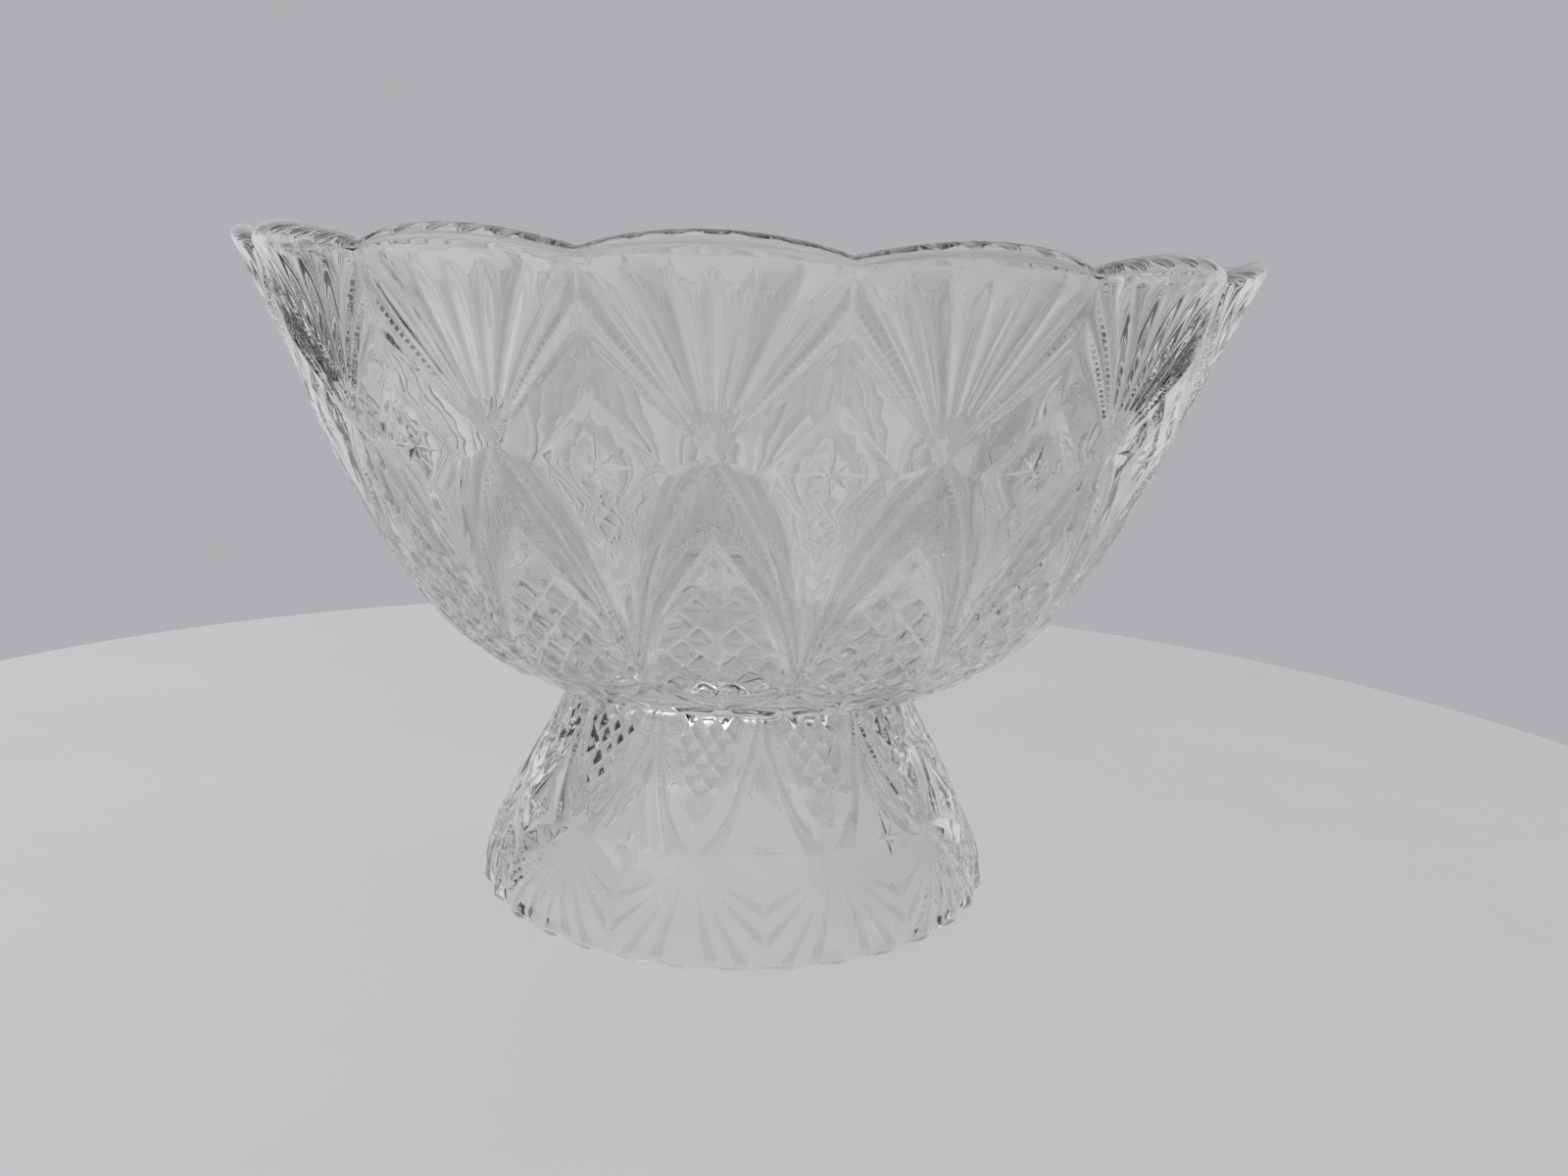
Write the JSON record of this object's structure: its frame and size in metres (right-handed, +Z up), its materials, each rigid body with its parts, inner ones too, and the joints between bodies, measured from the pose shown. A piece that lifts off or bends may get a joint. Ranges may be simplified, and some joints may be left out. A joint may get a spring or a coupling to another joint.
{
  "type": "punch bowl",
  "caption": "Wide scalloped punch bowl of clear pressed glass, cut with fans, stars and crosshatched arches, resting loose on a bell-shaped glass stand.",
  "frame": {"origin": "centre of the stand's foot, on the plane the part stands on", "axes": "+Z up along the common axis of bowl and stand; a scallop of the rim is centred on the -Y side, and a fan of the stand 6.2 degrees toward -X from there"},
  "size_m": [0.3098, 0.3093, 0.205],
  "materials": {
    "stand_glass": "clear colourless pressed glass, fire-polished, with crisp moulded relief",
    "bowl_glass": "clear colourless pressed glass, fire-polished, with crisp moulded relief"
  },
  "bodies": {
    "stand": {"stand": "stand_glass"},
    "bowl": {"punch_bowl": "bowl_glass"}
  },
  "joints": [
    {"name": "bowl_lift", "type": "slide", "parent": "stand", "child": "bowl", "axis": [0, 0, 1], "range_m": [0, 0.16]}
  ]
}
